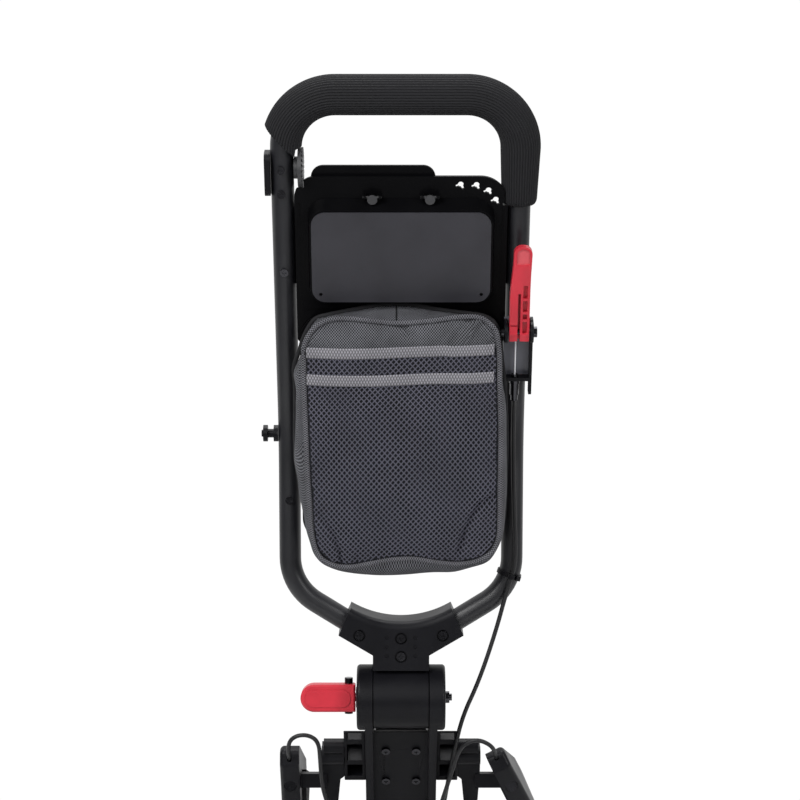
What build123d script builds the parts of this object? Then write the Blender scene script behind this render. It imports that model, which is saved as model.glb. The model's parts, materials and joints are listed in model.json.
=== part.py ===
from build123d import *
from math import cos, radians, sin, tan
import os

# Whole cart
LENGTH = 1010.0
REAR_R = 146.0
FRONT_R = 120.0
WHEEL_X = 275.0
HINGE_AHEAD = 230.0
HINGE_Z = 510.0

# Clearances
FIT = 0.15
GAP = 0.3
RUN = 0.05

# Handle loop, measured from the hinge along the loop
TUBE_D = 25.0
TUBE_WALL = 2.0
LOOP_W = 256.0
HANDLE_LEAN = 5.0
BEND_Z = 311.0
BEND_ANGLE = 18.0
BEND_R = 240.0
LOOP_UP = 398.5
TOP_R = 58.0
FOOT_R = 62.0
FOOT_Z = 132.0
FOOT_SLOPE = 32.0
TUBE_END_X = 17.0
GRIP_D = 43.0
GRIP_END_D = 38.0
GRIP_RIGHT_LEN = 61.5
GRIP_LEFT_CUT = 349.0

# Hinge and clamp yoke
BARREL_R = 36.0
BARREL_HALF = 32.5
EAR_R = 38.0
EAR_T = 18.5
SKEWER_R = 5.0
YOKE_HALF_T = 21.0
YOKE_TOP = 109.5
YOKE_TOP_MID = 93.5
YOKE_END = 78.5
YOKE_TOP_X = 58.0
YOKE_END_X = 72.0
STEM_Z = 55.0
STEM_LOW = 37.0
TONGUE_TOP = 66.0
LEVER_LEN = 56.0
LEVER_H = 32.0
LEVER_FRONT = 10.0
LEVER_BACK = 6.0
PIN_R = 3.0
PIN_EYE_R = 7.0
LEVER_OFF = 9.7
WASHER_T = 1.2

# Console, measured up from the bend
TRAY_FRONT = 14.0
TRAY_T = 4.0
TRAY_LEFT_R = 25.0
TRAY_RIGHT_R = 30.0
TRAY_EDGE = 6.5
TRAY_LOW = 160.0
TRAY_HIGH = 312.5
APRON = 42.0
APRON_STEP = 2.0
BOX_DEPTH = 26.0
LID_HALF = 101.0
LID_LOW = 168.0
LID_HIGH = 288.0
LID_DEPTH = 14.0
LID_WALL = 2.5
LID_PIN_X = 31.0
LID_PIN_R = 1.5
LID_PIN_N = 21.0

# Storage bag
BAG_W = 231.0
BAG_TOP_W = 214.0
BAG_LOW_W = 216.0
BAG_H = 292.0
BAG_T = 48.0
BAG_BELOW_LID = 16.0
BAG_CORNER = 40.0
BACKING_T = 2.0
BACKING_IN = 3.0
BACKING_SHORT = 23.0
BACKING_CORNER = 30.0

# Spine and frame, measured down from the hinge
SPINE_LEAN = 33.0
TOE_DROP = 155.0
SPINE_D = 36.0
SPINE_WALL = 2.5
HOUSING_LEN = 215.0
HOUSING_OUT = 42.0
PLATE_TOP = 51.0
LEG_DROP = 35.0
HOUSING_BACK = 40.0
LEG_PIN_R = 5.0
TOE_PIN_R = 6.0
LEG_PIVOT_X = 54.0
LEG_PIVOT_Y = -10.0
LEG_R = 14.0
FORK_IN = 30.0
FORK_OUT = 42.0
CRADLE_R = 105.0
CRADLE_H = 58.0
CRADLE_OPEN = 112.0

# Bag bracket
WING_OUT = 68.0
WING_LOW = 134.0
LINK_OUT = 95.0
ARM_W = 23.0
ARM_PIVOT_X = 132.0
ARM_PIVOT_Z = -137.0
ARM_TILT_RIGHT = 26.0

# Wheels
REAR_W = 44.0
FRONT_W = 42.0
AXLE_R = 6.0

# Derived places
REAR_Y = REAR_R - LENGTH / 2
FRONT_Y = LENGTH / 2 - FRONT_R
HINGE_Y = REAR_Y + HINGE_AHEAD
TUBE_R = TUBE_D / 2
LOOP_X = LOOP_W / 2
EAR_IN = BARREL_HALF + GAP
EAR_OUT = EAR_IN + EAR_T
LEVER_PIN_X = EAR_OUT + LEVER_OFF
TRAY_HALF = LOOP_X - TUBE_R - GAP
LID_PIN_Z = LID_HIGH + 3.5
BAG_TOP = LID_LOW * cos(radians(BEND_ANGLE / 2)) - BAG_BELOW_LID
LEG_AT = HOUSING_LEN + LEG_DROP
SPINE_LEN = LEG_AT + TOE_DROP
HINGE = Pos(0, HINGE_Y, HINGE_Z)
HANDLE = HINGE * Rot(HANDLE_LEAN, 0, 0)
UPPER = HANDLE * Pos(0, 0, BEND_Z) * Rot(BEND_ANGLE, 0, 0)
MIDDLE = HANDLE * Pos(0, 0, BEND_Z) * Rot(BEND_ANGLE / 2, 0, 0)
SPINE = HINGE * Rot(SPINE_LEAN, 0, 0)
TOE_Y = HINGE_Y + SPINE_LEN * sin(radians(SPINE_LEAN))
TOE_Z = HINGE_Z - SPINE_LEN * cos(radians(SPINE_LEAN))
SPINE_MID = 2 + SPINE_D / 2 - 4
SPINE_HALF = EAR_IN - GAP


def span(x0, x1, y0, y1, z0, z1):
    # Box between two corners
    size = Box(abs(x1 - x0), abs(y1 - y0), abs(z1 - z0))
    return Pos((x0 + x1) / 2, (y0 + y1) / 2, (z0 + z1) / 2) * size


def rod_x(r, x0, x1, y=0, z=0):
    # Round bar along X
    return Pos((x0 + x1) / 2, y, z) * Rot(0, 90, 0) * Cylinder(r, abs(x1 - x0))


def rod_y(r, y0, y1, x=0, z=0):
    # Round bar along Y
    return Pos(x, (y0 + y1) / 2, z) * Rot(90, 0, 0) * Cylinder(r, abs(y1 - y0))


def rod_z(r, z0, z1, x=0, y=0):
    # Round bar along Z
    return Pos(x, y, (z0 + z1) / 2) * Cylinder(r, abs(z1 - z0))


def bar(p, q, r):
    # Round bar between two points
    along = Vector(*q) - Vector(*p)
    low = (Align.CENTER, Align.CENTER, Align.MIN)
    return Plane(origin=p, z_dir=along) * Cylinder(r, along.length, align=low)


def flat(points, y0, y1):
    # Plate with an outline in X and Z
    face = make_face(Polyline(*points, close=True))
    plate = extrude(Plane.XZ * face, amount=abs(y1 - y0))
    return Pos(0, max(y0, y1), 0) * plate


def side(points, x0, x1):
    # Plate with an outline in Y and Z
    face = make_face(Polyline(*points, close=True))
    plate = extrude(Plane.YZ * face, amount=abs(x1 - x0))
    return Pos(min(x0, x1), 0, 0) * plate


def rounded(x0, x1, z0, z1, r, y0, y1):
    # Plate with rounded corners facing along Y
    face = RectangleRounded(x1 - x0, z1 - z0, r)
    plate = extrude(Plane.XZ * face, amount=abs(y1 - y0))
    return Pos((x0 + x1) / 2, max(y0, y1), (z0 + z1) / 2) * plate


def group(*solids):
    # Separate solids kept in one file
    return Compound(children=[s for part in solids for s in part.solids()])


def screw_y(x, z, head_y, head_r=5.0, head_h=3.0, shank_r=2.0, shank=14.0):
    # Pan head screw driven forward with a cross recess
    body = rod_y(head_r, head_y - head_h, head_y, x, z) + rod_y(shank_r, head_y, head_y + shank, x, z)
    for turn in (0, 90):
        slot = Box(head_r * 1.1, head_h, 1.2)
        body -= Pos(x, head_y - head_h, z) * Rot(0, turn, 0) * slot
    return body


def loop_point(x, up):
    # Point on the leaning upper part of the loop
    lean = radians(BEND_ANGLE)
    return (x, -up * sin(lean), BEND_Z + up * cos(lean))


def loop_path():
    end_z = FOOT_Z - (LOOP_X - TUBE_END_X) * tan(radians(FOOT_SLOPE))
    points = [
        (-TUBE_END_X, 0, end_z),
        (-LOOP_X, 0, FOOT_Z),
        (-LOOP_X, 0, BEND_Z),
        loop_point(-LOOP_X, LOOP_UP),
        loop_point(LOOP_X, LOOP_UP),
        (LOOP_X, 0, BEND_Z),
        (LOOP_X, 0, FOOT_Z),
        (TUBE_END_X, 0, end_z),
    ]
    return FilletPolyline(*points, radius=[FOOT_R, BEND_R, TOP_R, TOP_R, BEND_R, FOOT_R])


# Cords, hand placed in the cart's frame
CABLE_R = 2.5
BUNGEE_R = 2.5
CABLE = [
    (127, -197, 859), (127, -180, 820), (128, -171, 769), (130, -165, 718), (132, -158.5, 670),
    (122, -156, 639.5), (109, -150, 589), (90, -148, 532), (72, -129, 488), (64, -100, 445),
    (57, -71, 402), (51, -40, 354),
]
LEFT_BUNGEE = [
    (-132, -84, 422), (-132, -112, 434), (-132, -130, 457), (-121.5, -134.7, 466.4), (-106.5, -134.7, 466.4),
    (-96, -130, 457), (-95, -117, 433), (-94, -92, 395), (-85, -73, 362), (-60, -54, 335), (-29, -32, 309),
]
RIGHT_BUNGEE = [
    (114, -84, 424), (112, -112, 436), (107, -131, 453), (88, -138, 463), (69, -131, 453), (60, -107, 417),
    (48, -75, 371), (40, -53, 338), (29, -29, 307),
]
BUNGEE = {-1: LEFT_BUNGEE, 1: RIGHT_BUNGEE}

TUBE_SCREWS = [(-LOOP_X, 202.0), (-LOOP_X - 1, 319.0), (-LOOP_X - 1, 292.0)]
LOW_SCREW = (-LOOP_X, 235.0)


def handle_tube():
    path = loop_path()
    ring = Circle(TUBE_R) - Circle(TUBE_R - TUBE_WALL)
    tube = sweep(Plane(origin=path @ 0, z_dir=path % 0) * ring, path=path)
    tube = HANDLE * tube
    for x, z in TUBE_SCREWS:
        tube -= UPPER * rod_y(2 + FIT, -TUBE_D, 0, x, z)
    tube -= HANDLE * rod_y(2 + FIT, -TUBE_D, 0, *LOW_SCREW)
    for x, z in YOKE_SCREWS[2:]:
        tube -= HANDLE * rod_y(2.5 + FIT, -TUBE_D, TUBE_D, x, z)
    return tube


def grip():
    low = LOOP_UP - TOP_R
    points = [(-LOOP_X, 0, low - 45), (-LOOP_X, 0, LOOP_UP), (LOOP_X, 0, LOOP_UP), (LOOP_X, 0, low)]
    path = FilletPolyline(*points, radius=TOP_R - 0.01)
    sleeve = sweep(Plane(origin=path @ 0, z_dir=path % 0) * Circle(GRIP_D / 2), path=path)
    taper = Cone(GRIP_END_D / 2, GRIP_D / 2, GRIP_RIGHT_LEN)
    sleeve += Pos(LOOP_X, 0, low - GRIP_RIGHT_LEN / 2) * taper
    cutter = Pos(-LOOP_X, 0, GRIP_LEFT_CUT) * Rot(0, 45, 0) * Pos(0, 0, -75) * Box(150, 60, 150)
    sleeve -= cutter
    inner = -LOOP_X + TUBE_R + 2
    sleeve -= span(inner, inner + 40, -40, 40, low - 60, MOUNT_Z + MOUNT_R + 2)
    return UPPER * (sleeve - grip_bore())


def grip_bore():
    # Clearance hole that follows the loop inside the grip
    low = LOOP_UP - TOP_R
    points = [(-LOOP_X, 0, low - 90), (-LOOP_X, 0, LOOP_UP), (LOOP_X, 0, LOOP_UP), (LOOP_X, 0, low - 90)]
    path = FilletPolyline(*points, radius=TOP_R)
    return sweep(Plane(origin=path @ 0, z_dir=path % 0) * Circle(TUBE_R + FIT), path=path)


def tube_screws():
    heads = [UPPER * screw_y(x, z, -TUBE_R - 0.1, 4.5, 2.0, 2.0, 4.0) for x, z in TUBE_SCREWS]
    heads.append(HANDLE * screw_y(*LOW_SCREW, -TUBE_R - 0.1, 4.5, 2.0, 2.0, 4.0))
    return group(*heads)


# Clamp yoke that joins the loop to the hinge barrel
def yoke_outline(low):
    right = [(YOKE_END_X, YOKE_END), (BARREL_HALF, STEM_Z), (BARREL_HALF, low)]
    left = [(-x, z) for x, z in reversed(right)]
    sides = Polyline((YOKE_TOP_X, YOKE_TOP), *right, *left, (-YOKE_TOP_X, YOKE_TOP))
    top = ThreePointArc((-YOKE_TOP_X, YOKE_TOP), (0, YOKE_TOP_MID), (YOKE_TOP_X, YOKE_TOP))
    return make_face(sides.edges() + top.edges())


YOKE_SCREWS = [(0, 75.0), (0, 53.5), (48.0, 78.5), (-48.0, 78.5)]
YOKE_DIMPLES = [(16.5, 76.0), (16.5, 65.0), (16.5, 54.5)]
TONGUE_HALF_X = 15.0
TONGUE_HALF_Y = 8.0


def yoke_half(user_side):
    low, high = (-YOKE_HALF_T, 0) if user_side else (0, YOKE_HALF_T)
    outline = yoke_outline(STEM_LOW if user_side else STEM_LOW / 2)
    body = Pos(0, high, 0) * extrude(Plane.XZ * outline, amount=YOKE_HALF_T)
    rim = body.faces().filter_by(Axis.Y).sort_by(Axis.Y)[0 if user_side else -1].edges()
    rim = rim.filter_by(lambda e: e.center().Z > STEM_LOW + 1)
    arch = rim.filter_by(GeomType.CIRCLE)
    body = fillet(arch, 9.0) if user_side else fillet(rim, 2.5)
    end_z = FOOT_Z - (LOOP_X - TUBE_END_X) * tan(radians(FOOT_SLOPE))
    for s in (-1, 1):
        body -= bar((s * (TUBE_END_X - 1), 0, end_z - 0.6), (s * LOOP_X, 0, FOOT_Z), TUBE_R + FIT)
    body -= rod_x(BARREL_R + GAP, -2 * BARREL_HALF, 2 * BARREL_HALF)
    body -= span(-TONGUE_HALF_X - FIT, TONGUE_HALF_X + FIT, -TONGUE_HALF_Y - FIT, TONGUE_HALF_Y + FIT,
                 0, TONGUE_TOP + GAP)
    for x, z in YOKE_SCREWS:
        body -= rod_y(2.5 + FIT, -30, 30, x, z)
        if user_side:
            body -= rod_y(7, -30, low + 3, x, z)
    if user_side:
        for x, z in YOKE_DIMPLES:
            body -= rod_y(2.4, -30, low + 1.2, x, z) + rod_y(2.4, -30, low + 1.2, -x, z)
    return HANDLE * body


def yoke_screws():
    return HANDLE * group(*[
        screw_y(x, z, 3 - YOKE_HALF_T, 5.2, 3, 2.5, 2 * YOKE_HALF_T - 7) for x, z in YOKE_SCREWS])


def hinge_barrel():
    body = rod_x(BARREL_R, -BARREL_HALF, BARREL_HALF)
    body += span(-TONGUE_HALF_X, TONGUE_HALF_X, -TONGUE_HALF_Y, TONGUE_HALF_Y, 0, TONGUE_TOP)
    body -= rod_x(SKEWER_R + RUN, -60, 60)
    body -= rod_y(2.5 + FIT, -30, 30, *YOKE_SCREWS[1])
    return HANDLE * body


# Console between the tubes
TEE_HOLES = [(64, -9), (81, -9.5), (94, -15.5), (102, -26)]
CLIP_LEFT = -97.0
CLIP_RIGHT = 37.0


def console_tray():
    back = -TRAY_FRONT + TRAY_T
    tray = tray_plate(back)
    tray += rounded(-TRAY_HALF, TRAY_HALF, TRAY_LOW - APRON, TRAY_LOW + 40, 6,
                    APRON_STEP - TRAY_FRONT, back + APRON_STEP)
    box = rounded(-LID_HALF + 3, LID_HALF - 3, LID_LOW + 4, LID_HIGH - 4, 14, back, back + BOX_DEPTH)
    hollow = rounded(-LID_HALF + 6, LID_HALF - 6, LID_LOW + 7, LID_HIGH - 7, 11, -30, back + BOX_DEPTH - 3)
    tray = tray + box
    for s in (-1, 1):
        tray += span(s * (LID_HALF - 8), s * TRAY_HALF, back, 8, LID_LOW + 17, LID_HIGH - 13)
    tray -= hollow
    tray -= rod_x(MOUNT_R + 0.6, -LOOP_X, -TRAY_HALF + DISC_OUT + 0.6, 0, MOUNT_Z)
    grip_end = LOOP_UP - TOP_R - GRIP_RIGHT_LEN
    tray -= rod_z(GRIP_D / 2 + GAP, grip_end - GAP, TRAY_HIGH + 9, LOOP_X)
    tray -= rod_z(CLIP_R + GAP, CLIP_LOW - GAP, CLIP_HIGH + GAP, LOOP_X)
    for x, z in TEE_HOLES:
        tray -= tee_hole(x, TRAY_HIGH + z)
    for s in (-1, 1):
        for off in (-1, 1):
            tray += lid_lug(s * LID_PIN_X + off * 8.2)
    return UPPER * tray


def tray_plate(back):
    # Face plate with two large upper corners and lowered side edges
    plate = span(-TRAY_HALF, TRAY_HALF, -TRAY_FRONT, back, TRAY_LOW, TRAY_HIGH)
    top = plate.edges().filter_by(Axis.Y).filter_by(lambda e: e.center().Z > TRAY_HIGH - 1).sort_by(Axis.X)
    plate = fillet(top[0], TRAY_LEFT_R)
    top = plate.edges().filter_by(Axis.Y).filter_by(lambda e: e.center().Z > TRAY_HIGH - 1).sort_by(Axis.X)
    plate = fillet(top[-1], TRAY_RIGHT_R)
    for s in (-1, 1):
        plate -= span(s * (TRAY_HALF - TRAY_EDGE), s * LOOP_X, -TRAY_FRONT - 1, TRAY_T / 2 - TRAY_FRONT,
                      TRAY_LOW - 1, TRAY_HIGH - TRAY_RIGHT_R)
    return plate


def tee_hole(x, z):
    # Round hole with two short flares
    hole = rod_y(3.1, -30, 30)
    for turn in (-50, 50):
        hole += Rot(0, turn, 0) * span(-1.3, 1.3, -30, 30, -5.6, 0)
    return Pos(x, 0, z) * Rot(0, 20, 0) * hole


def lid_lug(x):
    lug = rod_x(2.6, x - 1.5, x + 1.5, -LID_PIN_N, LID_PIN_Z)
    lug += span(x - 1.5, x + 1.5, -LID_PIN_N, 1 - TRAY_FRONT, LID_PIN_Z - 2.6, LID_PIN_Z + 2.6)
    return lug - rod_x(LID_PIN_R + FIT, x - 5, x + 5, -LID_PIN_N, LID_PIN_Z)


def lid_pins():
    return UPPER * group(*[
        rod_x(LID_PIN_R, s * LID_PIN_X - 10, s * LID_PIN_X + 10, -LID_PIN_N, LID_PIN_Z) for s in (-1, 1)])


def clip_plate():
    back = -TRAY_FRONT + TRAY_T
    return UPPER * rounded(CLIP_LEFT, CLIP_RIGHT, LID_HIGH + 1, TRAY_HIGH + 11, 13.5, back, back + 3)


def lid_shell(grow, n0, n1):
    low = Plane.XZ.offset(n0) * Pos(0, (LID_LOW + LID_HIGH) / 2) * RectangleRounded(
        2 * (LID_HALF - grow), LID_HIGH - LID_LOW - 2 * grow, 21 - grow)
    high_z = (LID_LOW + 4 + LID_HIGH - 9) / 2
    high = Plane.XZ.offset(n1) * Pos(0, high_z) * RectangleRounded(
        2 * (LID_HALF - 2 - grow), LID_HIGH - LID_LOW - 13 - 2 * grow, 17 - grow)
    return loft([low, high])


def console_lid():
    base = TRAY_FRONT + GAP
    lid = lid_shell(0, base, base + LID_DEPTH)
    lid -= lid_shell(LID_WALL, base - 0.01, base + LID_DEPTH - LID_WALL)
    for s in (-1, 1):
        x = s * LID_PIN_X
        lid += rod_y(5.5, -LID_PIN_N - 3, -LID_PIN_N + 2, x, LID_PIN_Z - 2)
        lid -= rod_x(LID_PIN_R + RUN, x - 9, x + 9, -LID_PIN_N, LID_PIN_Z)
    return UPPER * lid


def lid_panel():
    front = TRAY_FRONT + GAP + LID_DEPTH
    panel = rounded(-LID_HALF + 4, LID_HALF - 4, LID_LOW + 6, LID_HIGH - 11, 15, -front - 2, -front)
    for s in (-1, 1):
        panel -= rod_y(2, -60, 0, s * (LID_HALF - 13.5), LID_LOW + 15)
    return UPPER * panel


def bag_plane():
    # Distance of the apron's face at the height of the bag's top
    lean = radians(BEND_ANGLE / 2)
    return -(TRAY_FRONT - APRON_STEP) / cos(lean) - BAG_TOP * tan(lean) - GAP


def bag_backing():
    # Stiff panel that carries the bag
    half, low, back = TRAY_HALF - BACKING_IN, BAG_TOP - BAG_H + BACKING_SHORT, bag_plane()
    return MIDDLE * rounded(-half, half, low, BAG_TOP, BACKING_CORNER, back - BACKING_T, back)


def bag_outline():
    # Straight top and base with sides that bulge towards the tubes
    top, low, base, half = BAG_TOP_W / 2, BAG_LOW_W / 2, BAG_TOP - BAG_H, BAG_W / 2
    wide = BAG_TOP - 0.55 * BAG_H
    lines = [Line((-top, BAG_TOP), (top, BAG_TOP)), ThreePointArc((top, BAG_TOP), (half, wide), (low, base)),
             Line((low, base), (-low, base)), ThreePointArc((-low, base), (-half, wide), (-top, BAG_TOP))]
    return make_face([line.edge() for line in lines])


def storage_bag():
    back = bag_plane() - BACKING_T
    bag = Pos(0, back, 0) * extrude(Plane.XZ * bag_outline(), amount=BAG_T)
    bag = fillet(bag.edges().filter_by(Axis.Y), BAG_CORNER)
    front = bag.faces().sort_by(Axis.Y)[0].edges()
    bag = fillet(front, BAG_T / 3)
    return MIDDLE * bag


# Accessory mount and strap post on the left tube
MOUNT_Z = 318.0
MOUNT_R = 22.0
MOUNT_BORE_R = 3.0
DISC_IN = 4.5
DISC_OUT = 10.0
PLATE_Z = 312.0


def accessory_disc():
    face_x = -TRAY_HALF
    disc = rod_x(MOUNT_R, face_x + DISC_IN, face_x + DISC_OUT - 1.5, 0, MOUNT_Z)
    disc += rod_x(12, face_x, face_x + DISC_OUT, 0, MOUNT_Z)
    for i in range(24):
        tooth = span(face_x + DISC_OUT - 2, face_x + DISC_OUT, MOUNT_R - 7, MOUNT_R, -1.4, 1.4)
        disc += Pos(0, 0, MOUNT_Z) * Rot(i * 15, 0, 0) * tooth
    disc -= rod_x(MOUNT_BORE_R, face_x - 5, face_x + 20, 0, MOUNT_Z)
    return UPPER * disc


def accessory_plate():
    face_x = -LOOP_X - TUBE_R - GAP
    plate = span(face_x - 6, face_x, -13, 13, PLATE_Z - 24, PLATE_Z + 24)
    plate = fillet(plate.edges().filter_by(Axis.X), 8)
    return UPPER * plate


def strap_post():
    x = -LOOP_X - TUBE_R - GAP
    post = rod_x(9.5, x - 5, x) + rod_x(5, x - 12, x) + rod_x(9.5, x - 17, x - 12) + rod_x(4, x - 19, x)
    return HANDLE * Pos(0, 0, BEND_Z) * Rot(BEND_ANGLE / 2, 0, 0) * post


# Parking brake control on the right tube
PIVOT_N = 26.0
PIVOT_Z = 137.0
LEVER_X = 130.0
WIRE_X = 127.0
WIRE_N = 22.0
CLIP_R = TUBE_R + 3.5
CLIP_LOW = 92.0
CLIP_HIGH = 128.0


def brake_bracket():
    left, right = LEVER_X - 16, LEVER_X + 16
    body = rod_z(CLIP_R, CLIP_LOW, CLIP_HIGH, LOOP_X, 0)
    body += span(left, right, -17, -TUBE_R - 0.5, 78, 150)
    body += span(right - 3.5, right, -24, -TUBE_R - 0.5, 60, 150)
    for x in (left, right - 3.5):
        body += rod_x(12, x, x + 3.5, -PIVOT_N, PIVOT_Z)
        body += span(x, x + 3.5, -PIVOT_N, -15, PIVOT_Z - 12, PIVOT_Z + 12)
    body += span(left, right - 3, -28, -15, 78, 82)
    body -= rod_z(TUBE_R + FIT, 40, 170, LOOP_X, 0)
    body -= rod_x(3 + FIT, left - 5, right + 5, -PIVOT_N, PIVOT_Z)
    body -= rod_z(4 + FIT, 70, 90, WIRE_X, -WIRE_N)
    return UPPER * body


def brake_pivot_bolt():
    left, right = LEVER_X - 16, LEVER_X + 16
    bolt = rod_x(3, left - 3, right + 0.1, -PIVOT_N, PIVOT_Z)
    bolt += rod_x(6, right + 0.1, right + 4, -PIVOT_N, PIVOT_Z)
    bolt += rod_x(5, left - 3.5, left - 0.1, -PIVOT_N, PIVOT_Z)
    return UPPER * bolt


LEVER_HALF = 10.9
POCKETS = [(42.5, 58), (26.6, 39.6), (18, 23.8), (1.4, 15)]


def brake_lever():
    outline = [(-LEVER_HALF, -12), (-LEVER_HALF, 46), (-8.5, 80), (-8, 104), (12, 104), (LEVER_HALF, 74),
               (LEVER_HALF, -12)]
    front = flat(outline, -30, 30)
    front = fillet(front.edges().filter_by(Axis.Y).filter_by(lambda e: e.center().Z > 97), 8.5)
    profile = [(-8, -8), (-8, 54), (-13, 78), (-13, 111), (-5, 111), (-3, 82), (4.5, 56), (4.5, 0), (2, -8)]
    lever = front & side(profile, -30, 30)
    lever += rod_x(8.5, -LEVER_HALF, LEVER_HALF)
    lever -= rounded(-5, 9, 86, 101.5, 6.5, -20, -11.8) + span(-5, 9, -20, -11.8, 84, 93)
    lever -= span(-2.2, 0.7, -20, 1, -20, 48)
    for low, high in POCKETS:
        lever -= span(3.2, 8.2, -20, -4, low, high)
    lever -= span(-20, -2, -20, 0.5, 9.5, 11)
    lever -= rod_x(3 + RUN, -20, 20)
    return UPPER * Pos(LEVER_X, -PIVOT_N, PIVOT_Z) * lever


def cable_adjuster():
    barrel = rod_z(4, 53, 84, WIRE_X, -WIRE_N) + rod_z(5.2, 60, 74, WIRE_X, -WIRE_N)
    barrel += rod_z(6, 74, 77.8, WIRE_X, -WIRE_N)
    wire = rod_z(0.9, 84, PIVOT_Z - 11, WIRE_X, -WIRE_N)
    return UPPER * (barrel + wire)


TIE_TURN = 18.0
TIE_X = 2.0
TIE_Y = -15.6


def cable_tie():
    # Loop round the tube and the cable where the foot of the loop bends
    across = FOOT_R * cos(radians(TIE_TURN))
    up = FOOT_Z + FOOT_R * tan(radians(45 - FOOT_SLOPE / 2))
    place = HANDLE * Pos(LOOP_X - FOOT_R + across, 0, up - FOOT_R * sin(radians(TIE_TURN))) * Rot(0, TIE_TURN, 0)
    ring = rod_z(TUBE_R + 1.8, -2.5, 2.5) + rod_z(CABLE_R + 1.7, -2.5, 2.5, TIE_X, TIE_Y)
    ring += Rot(0, 0, 36) * span(-3, 3, -TUBE_R - 6, -TUBE_R - 0.5, -3, 3)
    ring -= rod_z(TUBE_R + FIT, -9, 9) + rod_z(CABLE_R + FIT, -9, 9, TIE_X, TIE_Y)
    return place * ring


# Hinge housing and spine
def hinge_housing():
    back = HOUSING_BACK
    cheek = [(1 - EAR_R, -8), (back, -8), (back, -HOUSING_LEN), (-22, -HOUSING_LEN), (-22, -PLATE_TOP - 44)]
    body = None
    for s in (-1, 1):
        wall = side(cheek, s * EAR_IN, s * HOUSING_OUT) + rod_x(EAR_R, s * EAR_IN, s * EAR_OUT)
        rim = wall.edges().filter_by(GeomType.CIRCLE)
        rim = rim.filter_by(lambda e: abs(abs(e.center().X) - EAR_OUT) < 0.1)
        wall = fillet(rim, 4.0)
        body = wall if body is None else body + wall
    body += span(-EAR_IN - 1, EAR_IN + 1, -6, SPINE_MID - SPINE_D / 2 - FIT, -HOUSING_LEN, -PLATE_TOP)
    body += span(-EAR_IN - 1, EAR_IN + 1, SPINE_MID + SPINE_D / 2 + FIT, back, -HOUSING_LEN, -PLATE_TOP - 30)
    body -= rod_x(SKEWER_R + RUN, -80, 80)
    for x, z in HOUSING_SCREWS:
        body -= rod_y(2 + FIT, -30, 10, x, z)
    return SPINE * body


HOUSING_SCREWS = [(-18, -81), (18, -81), (-18, -131), (18, -131)]


def housing_screws():
    return SPINE * group(*[screw_y(x, z, -6, 5, 3, 2, 9) for x, z in HOUSING_SCREWS])


def spine_tube():
    low, high = -SPINE_LEN + 40, -PLATE_TOP - 20
    size = (2 * SPINE_HALF, SPINE_D)
    outer = RectangleRounded(*size, 4) - RectangleRounded(size[0] - 2 * SPINE_WALL, size[1] - 2 * SPINE_WALL, 2)
    tube = Pos(0, SPINE_MID, low) * extrude(outer, amount=high - low)
    for x, z in HOUSING_SCREWS:
        tube -= rod_y(2 + FIT, -30, 10, x, z)
    return SPINE * tube


def hinge_skewer():
    rod = rod_x(SKEWER_R, -LEVER_PIN_X, EAR_OUT + 0.1)
    rod += rod_x(6.8, EAR_OUT + 0.1, EAR_OUT + 5) + rod_x(SKEWER_R - 1, EAR_OUT, EAR_OUT + 8)
    eye = rod_z(PIN_EYE_R, -7.5, 7.5, -LEVER_PIN_X, 0)
    return HINGE * (rod + eye - rod_z(PIN_R + RUN, -20, 20, -LEVER_PIN_X, 0))


def clamp_lever():
    x0, x1 = -LEVER_PIN_X - LEVER_LEN + LEVER_H / 2, -LEVER_PIN_X
    half = LEVER_H / 2
    blade = span(x0, x1 + LEVER_OFF - WASHER_T - 2 * GAP, -LEVER_FRONT, -LEVER_FRONT / 4, -half, half)
    blade += rod_y(half, -LEVER_FRONT, LEVER_BACK, x0, 0)
    rim = blade.faces().sort_by(Axis.Y)[0].edges()
    blade = chamfer(rim, LEVER_FRONT / 5)
    blade += span(x0, x1, -LEVER_FRONT / 2, LEVER_BACK, -half, half)
    blade += rod_z(PIN_EYE_R + 1, -half, half, x1, 0)
    slot, pass_r = 7.5 + GAP, SKEWER_R + GAP
    blade -= rod_z(PIN_EYE_R + GAP, -slot, slot, x1, 0)
    blade -= span(x1 - pass_r, x1 + 30, -PIN_EYE_R - GAP, 30, -slot, slot)
    blade -= rod_z(PIN_R + RUN, -40, 40, x1, 0)
    blade += Pos(0, -LEVER_FRONT, 0) * rounded(x0 - half + 6, x1 + 2, -half + 6, half - 6, half - 7, -1.2, 0)
    return HINGE * blade


def clamp_pin():
    half = LEVER_H / 2
    pin = rod_z(PIN_R, -half - 1, half + 1, -LEVER_PIN_X, 0)
    pin += rod_z(PIN_R + 1.8, half + GAP, half + 7, -LEVER_PIN_X, 0)
    pin += rod_z(PIN_R + 1.8, -half - 3, -half - GAP, -LEVER_PIN_X, 0)
    return HINGE * pin


def skewer_washer():
    ring = rod_x(12, -EAR_OUT - WASHER_T, -EAR_OUT) - rod_x(SKEWER_R + RUN, -70, 0)
    return HINGE * ring


GLAND_UP = 34.0
GLAND_AT = HOUSING_LEN - GLAND_UP


def cable_gland():
    low, high = -GLAND_AT - 9, -GLAND_AT + 9
    gland = span(HOUSING_OUT, HOUSING_OUT + 8, -16, -4, low, high) + rod_z(6, low, high, HOUSING_OUT + 9, -10)
    return SPINE * (gland - rod_z(CABLE_R + 0.8, low + 8, high + 12, HOUSING_OUT + 9, -10))


# Upper bag bracket
WING_FRONT = -4.0
WING_BACK_T = 12.0
WING_RIBS = [(4, 15), (23, 50), (57, 76)]


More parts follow.
